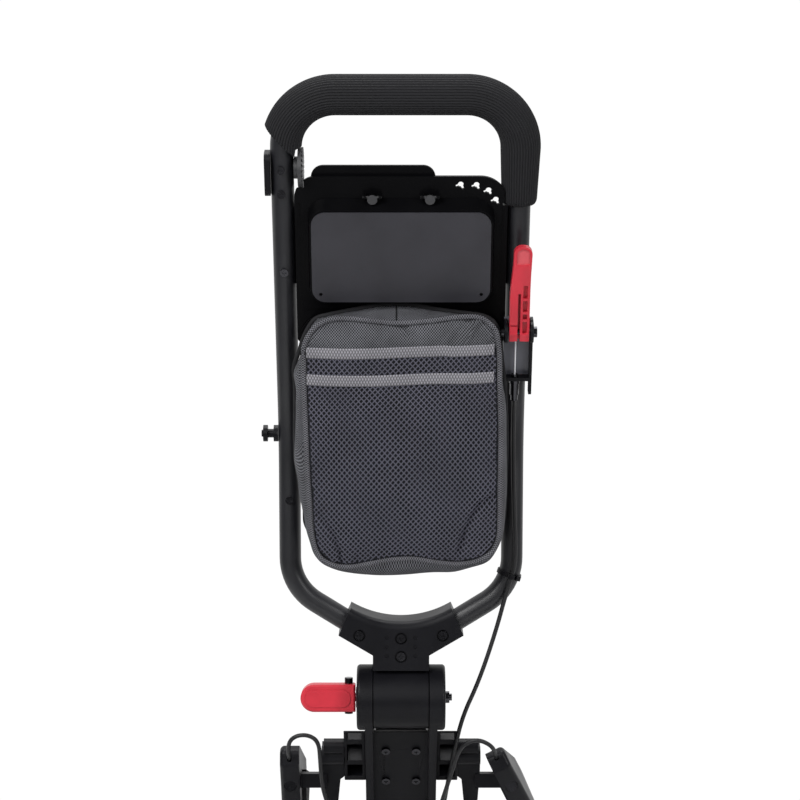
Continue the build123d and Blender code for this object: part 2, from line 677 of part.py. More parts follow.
def bracket_yoke():
    inner = HOUSING_OUT + GAP
    near = HOUSING_BACK + GAP
    far = near + WING_BACK_T
    low, high = -WING_LOW - 14, -PLATE_TOP - 56
    wing = [(WING_FRONT, -PLATE_TOP), (WING_FRONT, -WING_LOW), (far, low), (far, high)]
    body = span(-WING_OUT, WING_OUT, near, far, low, high)
    for s in (-1, 1):
        body += side(wing, s * inner, s * WING_OUT)
        for start, end in WING_RIBS:
            body -= span(s * (inner + 4), s * (WING_OUT - 4), -20, near - 14, -PLATE_TOP - end, -PLATE_TOP - start)
    return SPINE * body


LINK_FRONT = -6.0
LUG_R = 8.5
LUG_T = 6.0
BOLT_FRONT = -24.0
BOLT_BACK = 20.0


def level(s):
    # Level frame at the arm's bolt
    return SPINE * Pos(s * ARM_PIVOT_X, 0, ARM_PIVOT_Z) * Rot(-SPINE_LEAN, 0, 0)


def lug(s, grow):
    reach = s * (LINK_OUT - 6 - ARM_PIVOT_X)
    body = span(reach, 0, -LUG_T - grow, LUG_T + grow, -LUG_R - grow, LUG_R + grow)
    return body + rod_y(LUG_R + grow, -LUG_T - grow, LUG_T + grow)


def bracket_link(s):
    mid = LINK_FRONT + 11
    knuckle = rod_x(9, s * WING_OUT, s * (LINK_OUT - 3), mid - 2, -83)
    knuckle += rod_x(11, s * WING_OUT, s * LINK_OUT, mid, -100)
    leg = [(WING_OUT, -96), (LINK_OUT, -96), (LINK_OUT, -126), (LINK_OUT - 2, -182), (LINK_OUT - 18, -182),
           (WING_OUT + 5, -136), (WING_OUT, -131)]
    knuckle += flat([(s * x, z) for x, z in leg], 0, 24)
    return SPINE * knuckle + level(s) * (lug(s, 0) - rod_y(4 + FIT, -40, 60))


def arm_frame(s):
    return level(s) * Rot(0, 0 if s < 0 else -ARM_TILT_RIGHT, 0)


ARM_BLADE = [(-52, 28), (-50, 46), (-38, 50), (121, -2), (138, -28), (83, -70), (8, -60)]
PAD_BLADE = [(20, 8), (110, -16), (116, -30), (80, -54), (30, -48)]


def bracket_arm(s):
    # Curved horn that hangs on the link's lug
    arm = side(ARM_BLADE, -ARM_W / 2, ARM_W / 2)
    arm = fillet(arm.edges().filter_by(Axis.X), 7.0)
    outer = arm.faces().filter_by(Axis.X).sort_by(Axis.X)[-1 if s > 0 else 0]
    arm = fillet(outer.edges(), 5.5)
    room = lug(s, GAP) + rod_y(4 + FIT, -80, BOLT_BACK) + rod_y(7.5, -80, BOLT_FRONT)
    start, exit = BUNGEE[s][:2]
    return arm_frame(s) * arm - level(s) * room - bar(start, exit, BUNGEE_R + GAP)


def arm_pad(s):
    return arm_frame(s) * side(PAD_BLADE, -s * ARM_W / 2, -s * (ARM_W / 2 + 5))


def arm_bolts():
    solids = []
    for s in (-1, 1):
        bolt = rod_y(4, BOLT_FRONT - 1, BOLT_BACK - GAP) + rod_y(7, BOLT_FRONT - 6, BOLT_FRONT)
        solids.append(level(s) * bolt)
    return group(*solids)


# Leg yoke, legs and lower cradle
EAR_LOW = LEG_AT + 32
EAR_HIGH = LEG_AT - 32
HUB_HALF = 22.0


def leg_yoke():
    back = SPINE_MID + SPINE_D / 2
    body = span(-40, 40, -16, back + 8, -EAR_LOW, -EAR_HIGH)
    body -= span(-SPINE_HALF - FIT, SPINE_HALF + FIT, SPINE_MID - SPINE_D / 2 - FIT, back + FIT, -EAR_LOW - 9, -EAR_HIGH + 9)
    for s in (-1, 1):
        for low, high in ((-EAR_LOW, -LEG_AT - HUB_HALF - GAP), (-LEG_AT + HUB_HALF + GAP, -EAR_HIGH)):
            body += rod_z(18, low, high, s * LEG_PIVOT_X, LEG_PIVOT_Y)
            body += span(s * 36, s * LEG_PIVOT_X, LEG_PIVOT_Y - 18, LEG_PIVOT_Y + 18, low, high)
        body -= rod_z(17, -LEG_AT - HUB_HALF - GAP, -LEG_AT + HUB_HALF + GAP, s * LEG_PIVOT_X, LEG_PIVOT_Y)
        body -= rod_z(LEG_PIN_R + FIT, -EAR_LOW - 9, -EAR_HIGH + 9, s * LEG_PIVOT_X, LEG_PIVOT_Y)
    for s in (-1, 1):
        body += hook(s)
    return SPINE * body


def hook(s):
    post = rod_y(4, -34, -15, s * 24, -EAR_HIGH - 10)
    return post + rod_y(7, -36, -33, s * 24, -EAR_HIGH - 10)


def leg_pins():
    pins = []
    for s in (-1, 1):
        pin = rod_z(LEG_PIN_R, -EAR_LOW - 2, -EAR_HIGH + 0.1, s * LEG_PIVOT_X, LEG_PIVOT_Y)
        pin += rod_z(LEG_PIN_R + 3, -EAR_HIGH + 0.1, -EAR_HIGH + 3, s * LEG_PIVOT_X, LEG_PIVOT_Y)
        pins.append(SPINE * pin)
    return group(*pins)


def spine_place(x, y, z):
    # Row place of a point given in the spine's frame
    p = (SPINE * Pos(x, y, z)).position
    return (p.X, p.Y, p.Z)


HUB_IN = WHEEL_X - REAR_W / 2 - 8


def leg(s):
    start = spine_place(-LEG_PIVOT_X, LEG_PIVOT_Y, -LEG_AT)
    end = (14 - HUB_IN, REAR_Y, REAR_R)
    body = bar(start, end, LEG_R)
    body += Pos(0, REAR_Y, REAR_R) * rod_x(LEG_R + 4, -HUB_IN, 32 - HUB_IN)
    body += SPINE * rod_z(16, -LEG_AT - HUB_HALF, -LEG_AT + HUB_HALF, -LEG_PIVOT_X, LEG_PIVOT_Y)
    body -= SPINE * rod_z(LEG_PIN_R + RUN, -EAR_LOW - 9, -EAR_HIGH + 9, -LEG_PIVOT_X, LEG_PIVOT_Y)
    body -= Pos(0, REAR_Y, REAR_R) * rod_x(AXLE_R + FIT, 20 - HUB_IN, -HUB_IN - 20)
    return body if s < 0 else mirror(body, about=Plane.YZ)


def rear_axle(s):
    hub_out = WHEEL_X + REAR_W / 2 + 4
    pin = rod_x(AXLE_R, s * (HUB_IN - 18), s * (hub_out + 1))
    pin += rod_x(14, s * (hub_out + GAP), s * (hub_out + 5))
    return Pos(0, REAR_Y, REAR_R) * pin


def front_block():
    back = SPINE_MID + SPINE_D / 2
    body = span(-38, 38, -12, back + 6, -SPINE_LEN + 32, -SPINE_LEN + 90)
    body -= span(-SPINE_HALF - FIT, SPINE_HALF + FIT, SPINE_MID - SPINE_D / 2 - FIT, back + FIT,
                 -SPINE_LEN + 39.5, -SPINE_LEN + 99)
    body += span(-38, 38, -12, back + 6, -SPINE_LEN + 30, -SPINE_LEN + 39.5)
    for s in (-1, 1):
        cheek = [(-12, -SPINE_LEN + 34), (back + 6, -SPINE_LEN + 34), (24, -SPINE_LEN), (-24, -SPINE_LEN)]
        body += side(cheek, s * 26, s * 38)
        body += rod_x(24, s * 26, s * 38, 0, -SPINE_LEN)
    body -= rod_x(TOE_PIN_R + FIT, -60, 60, 0, -SPINE_LEN)
    return SPINE * body


def front_pivot_pin():
    pin = rod_x(TOE_PIN_R, -38.1, 38.1) + rod_x(10, 38.1, 42) + rod_x(10, -42, -38.1)
    return Pos(0, TOE_Y, TOE_Z) * pin


def front_arm():
    reach = FRONT_Y - TOE_Y
    drop = FRONT_R - TOE_Z
    length = (reach ** 2 + drop ** 2) ** 0.5
    near = length - FRONT_R - 16
    body = rod_x(22, -26 + GAP, 26 - GAP) + span(-26 + GAP, 26 - GAP, 0, near, -15, 15)
    body += span(-FORK_OUT, FORK_OUT, near - 32, near, -15, 15)
    for s in (-1, 1):
        blade = [(near - 32, -15), (near - 32, 15), (length, 13), (length, -13)]
        body += side(blade, s * FORK_IN, s * FORK_OUT) + rod_x(17, s * FORK_IN, s * FORK_OUT, length)
    body -= rod_x(TOE_PIN_R + RUN, -60, 60) + rod_x(AXLE_R + FIT, -60, 60, length)
    slope = Vector(0, reach, drop).get_signed_angle(Vector(0, 1, 0), Vector(-1, 0, 0))
    return Pos(0, TOE_Y, TOE_Z) * Rot(slope, 0, 0) * body


def front_axle():
    pin = rod_x(AXLE_R, -FORK_OUT - 0.1, FORK_OUT + 0.1)
    pin += rod_x(11, FORK_OUT + 0.1, FORK_OUT + 6) + rod_x(11, -FORK_OUT - 6, -FORK_OUT - 0.1)
    return Pos(0, FRONT_Y, FRONT_R) * pin


def lower_cradle():
    back = SPINE_MID + SPINE_D / 2 + 6
    mid = back + CRADLE_R + 8
    low = -SPINE_LEN + 40
    front = back + CRADLE_OPEN
    cup = rod_z(CRADLE_R + 8, low, low + CRADLE_H, 0, mid)
    cup += span(-38, 38, back, back + 16, low, low + 50)
    cup -= rod_z(CRADLE_R, low + 8, low + CRADLE_H + 30, 0, mid)
    away = mid + CRADLE_R + 40
    cut = [(back + 14, low + CRADLE_H), (front, low + 16), (front, low - 9), (away, low - 9),
           (away, low + CRADLE_H + 9), (back + 14, low + CRADLE_H + 9)]
    return SPINE * (cup - side(cut, -CRADLE_R - 30, CRADLE_R + 30))


# Wheels
def turned(points, place):
    # Ring turned about X from an outline of radius and width
    face = make_face(Polyline(*[(x, 0, r) for r, x in points], close=True))
    return place * revolve(face, Axis.X)


def tyre(radius, width, bed):
    w = width / 2
    outline = [(bed, 0.82 * w), (bed + 8, w), (radius - 9, 0.94 * w), (radius, 0.5 * w)]
    return outline + [(r, -x) for r, x in reversed(outline)]


def rim(bed, width, hub_half, place):
    w = width / 2
    barrel = [(bed - 11, 0.5 * w), (bed - 4, 0.86 * w), (bed - FIT, 0.8 * w)]
    body = turned(barrel + [(r, -x) for r, x in reversed(barrel)], Pos(0, 0, 0))
    body += rod_x(24, -hub_half, hub_half)
    for i in range(5):
        body += Rot(72 * i, 0, 0) * spoke(bed - 8)
    body -= rod_x(AXLE_R + RUN, -90, 90)
    return place * body


def spoke(reach):
    face = make_face(Polyline((-15, 15), (15, 15), (9, reach), (-9, reach), close=True))
    slab = Pos(-6, 0, 0) * extrude(Plane.YZ * face, amount=12)
    return slab - rod_x(7, -20, 20, 0, 0.66 * reach)


REAR_BED = REAR_R - 29
FRONT_BED = FRONT_R - 27


def rear_place(s):
    return Pos(s * WHEEL_X, REAR_Y, REAR_R)


FRONT_PLACE = Pos(0, FRONT_Y, FRONT_R)


def cord(points, r):
    path = FilletPolyline(*points, radius=cord_radii(points))
    return sweep(Plane(origin=path @ 0, z_dir=path % 0) * Circle(r), path=path)


def cord_radii(points):
    radii = []
    for a, b, c in zip(points, points[1:], points[2:]):
        u, v = Vector(*b) - Vector(*a), Vector(*c) - Vector(*b)
        half = radians(u.get_angle(v)) / 2
        radii.append(0.45 * min(u.length, v.length) / tan(half))
    print("cord radii", [round(r, 1) for r in radii])
    return radii


def all_parts():
    rear_hub = REAR_W / 2 + 4
    parts = {
        "handle_tube": handle_tube(), "grip": grip(), "tube_screws": tube_screws(),
        "yoke_front": yoke_half(True), "yoke_rear": yoke_half(False), "yoke_screws": yoke_screws(),
        "hinge_barrel": hinge_barrel(), "console_tray": console_tray(), "lid_pins": lid_pins(),
        "clip_plate": clip_plate(), "console_lid": console_lid(), "lid_panel": lid_panel(),
        "bag_backing": bag_backing(), "storage_bag": storage_bag(), "accessory_disc": accessory_disc(),
        "accessory_plate": accessory_plate(), "strap_post": strap_post(),
        "brake_bracket": brake_bracket(), "brake_pivot_bolt": brake_pivot_bolt(),
        "brake_lever": brake_lever(), "cable_adjuster": cable_adjuster(),
        "brake_cable": cord(CABLE, CABLE_R), "cable_tie": cable_tie(),
        "hinge_housing": hinge_housing(), "housing_screws": housing_screws(), "spine_tube": spine_tube(),
        "hinge_skewer": hinge_skewer(), "clamp_lever": clamp_lever(), "clamp_pin": clamp_pin(),
        "skewer_washer": skewer_washer(), "cable_gland": cable_gland(),
        "bracket_yoke": bracket_yoke(), "arm_bolts": arm_bolts(), "leg_yoke": leg_yoke(),
        "leg_pins": leg_pins(), "front_block": front_block(), "front_pivot_pin": front_pivot_pin(),
        "front_arm": front_arm(), "front_axle": front_axle(), "lower_cradle": lower_cradle(),
        "front_tyre": turned(tyre(FRONT_R, FRONT_W, FRONT_BED), FRONT_PLACE),
        "front_rim": rim(FRONT_BED, FRONT_W, FORK_IN - GAP, FRONT_PLACE),
    }
    for s, name in ((-1, "left"), (1, "right")):
        parts["bracket_link_" + name] = bracket_link(s)
        parts["bracket_arm_" + name] = bracket_arm(s)
        parts["arm_pad_" + name] = arm_pad(s)
        parts["bungee_" + name] = cord(BUNGEE[s], BUNGEE_R)
        parts["leg_" + name] = leg(s)
        parts["axle_" + name] = rear_axle(s)
        parts["tyre_" + name] = turned(tyre(REAR_R, REAR_W, REAR_BED), rear_place(s))
        parts["rim_" + name] = rim(REAR_BED, REAR_W, rear_hub, rear_place(s))
    return parts


os.makedirs("parts", exist_ok=True)
for node, shape in all_parts().items():
    export_step(shape, "parts/" + node + ".step")
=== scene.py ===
import bmesh
import bpy
import json
import math
from mathutils import Matrix, Vector
from mathutils.bvhtree import BVHTree


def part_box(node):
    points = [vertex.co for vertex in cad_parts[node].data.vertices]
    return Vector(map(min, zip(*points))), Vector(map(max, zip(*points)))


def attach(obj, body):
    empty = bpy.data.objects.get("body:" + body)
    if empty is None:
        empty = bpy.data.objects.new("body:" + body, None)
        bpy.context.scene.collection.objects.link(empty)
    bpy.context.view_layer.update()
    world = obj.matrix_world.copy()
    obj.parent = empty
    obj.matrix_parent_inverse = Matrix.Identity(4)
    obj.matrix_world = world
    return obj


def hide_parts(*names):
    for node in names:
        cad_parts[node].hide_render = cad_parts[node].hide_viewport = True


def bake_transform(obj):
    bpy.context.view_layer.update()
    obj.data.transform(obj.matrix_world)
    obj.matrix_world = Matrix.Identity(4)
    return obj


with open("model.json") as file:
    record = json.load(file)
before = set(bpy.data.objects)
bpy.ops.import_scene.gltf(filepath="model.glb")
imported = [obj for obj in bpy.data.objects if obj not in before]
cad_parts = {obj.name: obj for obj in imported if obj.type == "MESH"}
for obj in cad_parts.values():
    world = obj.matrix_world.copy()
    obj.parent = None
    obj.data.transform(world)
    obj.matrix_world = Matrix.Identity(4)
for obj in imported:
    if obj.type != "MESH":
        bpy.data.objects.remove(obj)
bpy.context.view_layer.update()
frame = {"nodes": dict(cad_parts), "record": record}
NODES = frame["nodes"]


def turn_x(degrees):
    return Matrix.Rotation(math.radians(degrees), 4, "X")


# Frames of the CAD model, in metres
HINGE = Matrix.Translation((0, -0.129, 0.510))
HANDLE = HINGE @ turn_x(5)
BEND = HANDLE @ Matrix.Translation((0, 0, 0.311))
UPPER = BEND @ turn_x(18)
MIDDLE = BEND @ turn_x(9)
LOOP_X = 0.128
LOOP_UP = 0.3985
TOP_R = 0.058
FOOT_R = 0.062
FOOT_Z = 0.132
FOOT_SLOPE = math.radians(32)
FOOT_TOP = 0.28
TUBE_R = 0.0125
TUBE_SLACK = 0.0004


# Materials
def shader(name, color, rough, metal=0.0, spec=0.5):
    mat = bpy.data.materials.new(name)
    mat.use_nodes = True
    tree = mat.node_tree
    b = tree.nodes["Principled BSDF"]
    b.inputs["Base Color"].default_value = (*color, 1)
    b.inputs["Roughness"].default_value = rough
    b.inputs["Metallic"].default_value = metal
    b.inputs["Specular IOR Level"].default_value = spec
    return mat, tree, b


def node(tree, kind, **values):
    n = tree.nodes.new(kind)
    for key, value in values.items():
        if key in n.inputs:
            n.inputs[key].default_value = value
        else:
            setattr(n, key, value)
    return n


def ramp(tree, source, low, high, a=0.35, b=0.65):
    r = tree.nodes.new("ShaderNodeValToRGB")
    r.color_ramp.elements[0].position = a
    r.color_ramp.elements[1].position = b
    r.color_ramp.elements[0].color = low
    r.color_ramp.elements[1].color = high
    tree.links.new(source, r.inputs["Fac"])
    return r.outputs["Color"]


def grain(name, color, rough, scale=1400.0, depth=0.00004, metal=0.0, spec=0.5,
          spread=0.12, vary=0.12):
    # Moulded or coated surface: fine grain, broad tone drift and uneven gloss
    mat, tree, b = shader(name, color, rough, metal, spec)
    where = tree.nodes.new("ShaderNodeTexCoord").outputs["Object"]
    fine = node(tree, "ShaderNodeTexNoise", Scale=scale, Detail=3.0)
    broad = node(tree, "ShaderNodeTexNoise", Scale=22.0, Detail=4.0)
    for n in (fine, broad):
        tree.links.new(where, n.inputs["Vector"])
    dark = [c * (1 - vary) for c in color] + [1]
    light = [min(1, c * (1 + vary)) for c in color] + [1]
    tree.links.new(ramp(tree, broad.outputs["Fac"], dark, light), b.inputs["Base Color"])
    low = [max(0.03, rough - spread / 2)] * 3 + [1]
    high = [min(1, rough + spread / 2)] * 3 + [1]
    tree.links.new(ramp(tree, broad.outputs["Fac"], low, high, 0.3, 0.7), b.inputs["Roughness"])
    bump = node(tree, "ShaderNodeBump", Strength=0.6, Distance=depth)
    tree.links.new(fine.outputs["Fac"], bump.inputs["Height"])
    tree.links.new(bump.outputs["Normal"], b.inputs["Normal"])
    return mat


BLACK_TUBE = grain("black_tube", (0.0065, 0.0067, 0.0088), 0.42, 2600, 0.000004,
                   spec=0.5, spread=0.04)
BLACK = grain("black_plastic", (0.0045, 0.0045, 0.006), 0.43, 1700, 0.00003, spec=0.15)
DEEP_BLACK = grain("deep_black_plastic", (0.0016, 0.0016, 0.002), 0.41, 1700, 0.00003, spec=0.07)
FOAM = grain("grip_foam", (0.01, 0.01, 0.0114), 0.8, 2200, 0.00006, spec=0.25)
LID = grain("lid_grey", (0.024, 0.0235, 0.0285), 0.55, 2400, 0.00004, spec=0.35)
BOSS = grain("boss_grey", (0.03, 0.03, 0.032), 0.45, 1700, 0.00003)
RED = grain("red_plastic", (0.49, 0.022, 0.038), 0.4, 1500, 0.00002, spec=0.35)
# Thumb recess red: a matt finish, and its lighter colour is a painted highlight
RED_MATT_PAINTED_HIGHLIGHT = grain("red_matt_painted_highlight", (0.53, 0.075, 0.09), 0.6, 1500, 0.00004, spec=0.35)
GREY = grain("grey_plastic", (0.09, 0.092, 0.11), 0.42, 1500, 0.00003)
STEEL = grain("steel", (0.5, 0.5, 0.52), 0.33, 900, 0.00001, metal=1.0)
# Brake wire: its silver made near white and mostly diffuse, a painted reflection in place of the
# steel's own shine
WIRE_PAINTED_REFLECTION = grain("wire_painted_reflection", (0.85, 0.85, 0.88), 0.45, 900, 0.00001, metal=0.3)
DARK_STEEL = grain("black_steel", (0.05, 0.05, 0.055), 0.2, 900, 0.00001, metal=1.0)
CORD = grain("cord", (0.006, 0.006, 0.007), 0.5, 3200, 0.0001, spec=0.4)
PAD = grain("pad_rubber", (0.008, 0.008, 0.009), 0.75, 900, 0.00006, spec=0.3)
TYRE = grain("tyre", (0.012, 0.012, 0.013), 0.78, 1200, 0.00006, spec=0.3)
RIM = grain("rim", (0.022, 0.022, 0.025), 0.45, 1500, 0.00003)


def calc(tree, kind, *values):
    # One arithmetic step between sockets or constants
    n = tree.nodes.new("ShaderNodeMath")
    n.operation = kind
    for socket, value in zip(n.inputs, values):
        if isinstance(value, (int, float)):
            socket.default_value = value
        else:
            tree.links.new(value, socket)
    return n.outputs["Value"]


def weave_axes(tree):
    uv = node(tree, "ShaderNodeUVMap", uv_map="weave").outputs["UV"]
    split = tree.nodes.new("ShaderNodeSeparateXYZ")
    tree.links.new(uv, split.inputs["Vector"])
    return split.outputs["X"], split.outputs["Y"]


def finish_weave(tree, b, height, dark, light, depth, low=0.3, high=0.7, drift=0.22):
    # Thread pattern to colour and relief, with a slow drift of tone
    color = ramp(tree, height, (*dark, 1), (*light, 1), low, high)
    where = tree.nodes.new("ShaderNodeTexCoord").outputs["Object"]
    cloud = node(tree, "ShaderNodeTexNoise", Scale=38.0, Detail=5.0)
    tree.links.new(where, cloud.inputs["Vector"])
    less, more = (1 - drift,) * 3 + (1,), (1 + drift,) * 3 + (1,)
    tone = ramp(tree, cloud.outputs["Fac"], less, more, 0.3, 0.7)
    mix = tree.nodes.new("ShaderNodeVectorMath")
    mix.operation = "MULTIPLY"
    tree.links.new(color, mix.inputs[0])
    tree.links.new(tone, mix.inputs[1])
    tree.links.new(mix.outputs["Vector"], b.inputs["Base Color"])
    bump = node(tree, "ShaderNodeBump", Strength=0.8, Distance=depth)
    tree.links.new(height, bump.inputs["Height"])
    tree.links.new(bump.outputs["Normal"], b.inputs["Normal"])


def wave(tree, value, pitch):
    return calc(tree, "SINE", calc(tree, "MULTIPLY", value, 2 * math.pi / pitch))


def woven(name, dark, light, pitch, depth, rough=0.85):
    # Basket weave of two thread directions
    mat, tree, b = shader(name, light, rough, spec=0.25)
    u, v = weave_axes(tree)
    cross = calc(tree, "MULTIPLY", wave(tree, u, pitch), wave(tree, v, pitch * 1.15))
    height = calc(tree, "ADD", calc(tree, "MULTIPLY", cross, 0.5), 0.5)
    finish_weave(tree, b, height, dark, light, depth, 0.4, 0.6)
    return mat


def netted(name, dark, light, pitch, width, depth):
    # Darker cloth that carries a second net of crossing threads
    mat, tree, b = shader(name, dark, 0.8, spec=0.25)
    u, v = weave_axes(tree)
    lines = []
    for turn in (1, -1):
        a = math.radians(52) * turn
        lean = calc(tree, "ADD", calc(tree, "MULTIPLY", u, -math.sin(a)),
                    calc(tree, "MULTIPLY", v, math.cos(a)))
        lines.append(calc(tree, "ABSOLUTE", wave(tree, lean, 2 * pitch)))
    gap = calc(tree, "MINIMUM", *lines)
    height = calc(tree, "SUBTRACT", 1.0, gap)
    finish_weave(tree, b, height, dark, light, depth, 1 - width * 1.5, 1 - width * 0.7)
    return mat


def elastic(name, dark, light):
    # Ribbed elastic band with a zigzag of stitches
    mat, tree, b = shader(name, light, 0.8, spec=0.3)
    u, v = weave_axes(tree)
    zig = calc(tree, "PINGPONG", u, 0.0016)
    zag = calc(tree, "PINGPONG", calc(tree, "ADD", v, 0.5), 0.0032)
    off = calc(tree, "ABSOLUTE", calc(tree, "SUBTRACT", zig, calc(tree, "MULTIPLY", zag, 0.5)))
    stitch = calc(tree, "MULTIPLY", off, 900.0)
    rib = calc(tree, "ADD", calc(tree, "MULTIPLY", wave(tree, u, 0.0009), 0.12), 0.6)
    height = calc(tree, "MULTIPLY", calc(tree, "MINIMUM", stitch, 1.0), rib)
    finish_weave(tree, b, height, dark, light, 0.0004, 0.05, 0.6, 0.08)
    return mat


FABRIC = woven("bag_fabric", (0.002, 0.002, 0.003), (0.13, 0.132, 0.146), 0.0029, 0.0005)
PIPING = woven("bag_piping", (0.006, 0.006, 0.007), (0.142, 0.142, 0.158), 0.0027, 0.0005)
BACKING = netted("bag_backing", (0.0035, 0.0035, 0.0055), (0.018, 0.018, 0.025),
                 0.0042, 0.16, 0.0004)
CLOTH_BACK = woven("bag_back", (0.008, 0.008, 0.009), (0.02, 0.02, 0.022), 0.0018, 0.0003)
NET = grain("bag_net", (0.076, 0.076, 0.1), 0.7, 2600, 0.0001, spec=0.3)
SEAM = grain("bag_seam", (0.006, 0.006, 0.007), 0.8, 2600, 0.0001, spec=0.2)
BAND = elastic("bag_band", (0.07, 0.069, 0.074), (0.29, 0.284, 0.312))
SLOTS = {
    "black_tube": BLACK_TUBE, "black_plastic": BLACK, "grip_foam": FOAM, "lid_grey": LID,
    "red_plastic": RED, "grey_plastic": GREY, "steel": STEEL, "black_steel": DARK_STEEL,
    "cord": CORD, "pad_rubber": PAD, "tyre": TYRE, "rim": RIM,
}
# Limits of the second finishes, of the wire's painted reflection and of the thumb recess's painted
# highlight, in the upper frame
WIRE_LOW = 0.0845
LID_DISC_LOW = 0.2835
LID_DISC_NEAR = -0.0225
THUMB_LOW = 0.2205
THUMB_NEAR, THUMB_FAR = -0.0385, -0.037
CHANNEL_NEAR = -0.0175
CHANNEL_OUT = 0.1428
CONSOLE = ("console_tray", "console_lid", "clip_plate", "bag_backing")
PLATES = ("hinge_housing", "yoke_front", "yoke_rear", "console_tray")


def dress_cad():
    # Every CAD node gets its finish, and softened edges unless its exact normals are kept
    for part in frame["record"]["subparts"]:
        obj = NODES[part["node"]]
        mat = SLOTS.get(part["material_slot"])
        if mat is None:
            continue
        if part["node"] in CONSOLE:
            mat = DEEP_BLACK
        obj.data.materials.clear()
        obj.data.materials.append(mat)
        if part["material_slot"] in ("black_tube", "lid_grey"):
            continue
        clear_normals(obj.data)
        low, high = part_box(part["node"])
        size = min(high - low)
        weld = obj.modifiers.new("weld", "WELD")
        weld.merge_threshold = 0.00002
        bevel = obj.modifiers.new("bevel", "BEVEL")
        bevel.width = max(0.0003, min(0.0012, size * 0.03))
        bevel.segments = 2
        bevel.limit_method = "ANGLE"
        bevel.angle_limit = math.radians(40)
        bevel.harden_normals = True
        if part["node"] in PLATES:
            obj.modifiers.new("flat faces", "WEIGHTED_NORMAL")
    foot_normals()
    # Exposed brake wire in silver, lightened as a painted reflection
    paint("cable_adjuster", WIRE_PAINTED_REFLECTION, lambda p: p.z > WIRE_LOW)
    paint("lid_pins", BOSS, lambda p: True)
    paint("accessory_disc", BOSS, lambda p: True)
    paint("console_lid", BOSS, lambda p: p.z > LID_DISC_LOW and p.y < LID_DISC_NEAR)
    # Brake lever's thumb recess: matt red, lightened as a painted highlight
    paint("brake_lever", RED_MATT_PAINTED_HIGHLIGHT, lambda p: p.z > THUMB_LOW and THUMB_NEAR < p.y < THUMB_FAR)
    paint("brake_bracket", BLACK, lambda p: p.y < CHANNEL_NEAR or p.x > CHANNEL_OUT)


def clear_normals(mesh):
    # Shading follows the welded and bevelled mesh instead of the stored normals
    for name in ("custom_normal", "sharp_edge", "sharp_face"):
        if name in mesh.attributes:
            mesh.attributes.remove(mesh.attributes[name])


def foot_middle(x, z):
    # Nearest point of the tube's middle line on the right half of the loop below the bend
    turn = math.pi / 2 - FOOT_SLOPE
    cut = FOOT_R * math.tan(turn / 2)
    cx, cz = LOOP_X - FOOT_R, FOOT_Z + cut
    angle = math.atan2(cz - z, x - cx)
    if z > cz:
        return LOOP_X, z
    if angle < turn:
        return cx + FOOT_R * math.cos(angle), cz - FOOT_R * math.sin(angle)
    dx, dz = -math.cos(FOOT_SLOPE), -math.sin(FOOT_SLOPE)
    along = (x - LOOP_X) * dx + (z - FOOT_Z) * dz
    return LOOP_X + along * dx, FOOT_Z + along * dz


def foot_normals():
    # Shading normals of the loop's lower bends, worked out from the tube's middle line
    obj = NODES["handle_tube"]
    mesh = obj.data
    back = HANDLE.inverted() @ obj.matrix_world
    turn = back.to_3x3()
    normals = [c.vector.copy() for c in mesh.corner_normals]
    for loop in mesh.loops:
        v = back @ mesh.vertices[loop.vertex_index].co
        if v.z > FOOT_TOP:
            continue
        x, z = foot_middle(abs(v.x), v.z)
        out = Vector((v.x - math.copysign(x, v.x), v.y, v.z - z))
        true = (turn.transposed() @ out).normalized()
        on_tube = abs(out.length - TUBE_R) < TUBE_SLACK
        if on_tube and true.dot(normals[loop.index]) > 0.9:
            normals[loop.index] = true
    mesh.normals_split_custom_set(normals)


def paint(name, mat, chosen):
    # Second material on the faces of a node that lie in the chosen part of the upper frame; most
    # are finishes, the wire's is a painted reflection and the thumb recess's a painted highlight
    mesh = NODES[name].data
    mesh.materials.append(mat)
    back = UPPER.inverted() @ NODES[name].matrix_world
    for poly in mesh.polygons:
        if chosen(back @ poly.center):
            poly.material_index = 1


def piece(name, verts, faces, mat, body):
    mesh = bpy.data.meshes.new(name)
    mesh.from_pydata([Vector(v) for v in verts], [], faces)
    mesh.update()
    for p in mesh.polygons:
        p.use_smooth = True
    mesh.materials.append(mat)
    obj = bpy.data.objects.new(name, mesh)
    bpy.context.scene.collection.objects.link(obj)
    if body:
        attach(obj, body)
    return obj


# Cords, with the control points of their routes in mm
CORD_D = 0.005
CABLE = [
    (127, -197, 859), (127, -180, 820), (128, -171, 769), (130, -165, 718), (132, -158.5, 670),
    (122, -156, 639.5), (109, -150, 589), (90, -148, 532), (72, -129, 488), (64, -100, 445),
    (57, -71, 402), (51, -40, 354),
]
LEFT_BUNGEE = [
    (-132, -84, 422), (-132, -112, 434), (-132, -130, 457), (-121.5, -134.7, 466.4),
    (-106.5, -134.7, 466.4),
    (-96, -130, 457), (-95, -117, 433), (-94, -92, 395), (-85, -73, 362), (-60, -54, 335),
    (-29, -32, 309),
]
RIGHT_BUNGEE = [
    (114, -84, 424), (112, -112, 436), (107, -131, 453), (88, -138, 463), (69, -131, 453),
    (60, -107, 417),
    (48, -75, 371), (40, -53, 338), (29, -29, 307),
]


def route(name, points):
    curve = bpy.data.curves.new(name, "CURVE")
    curve.dimensions = "3D"
    spline = curve.splines.new("NURBS")
    spline.points.add(len(points) - 1)
    for p, co in zip(spline.points, points):
        p.co = (*[c / 1000 for c in co], 1)
    spline.order_u = 3
    spline.use_endpoint_u = True
    spline.resolution_u = 12
    obj = bpy.data.objects.new(name, curve)
    bpy.context.scene.collection.objects.link(obj)
    return obj


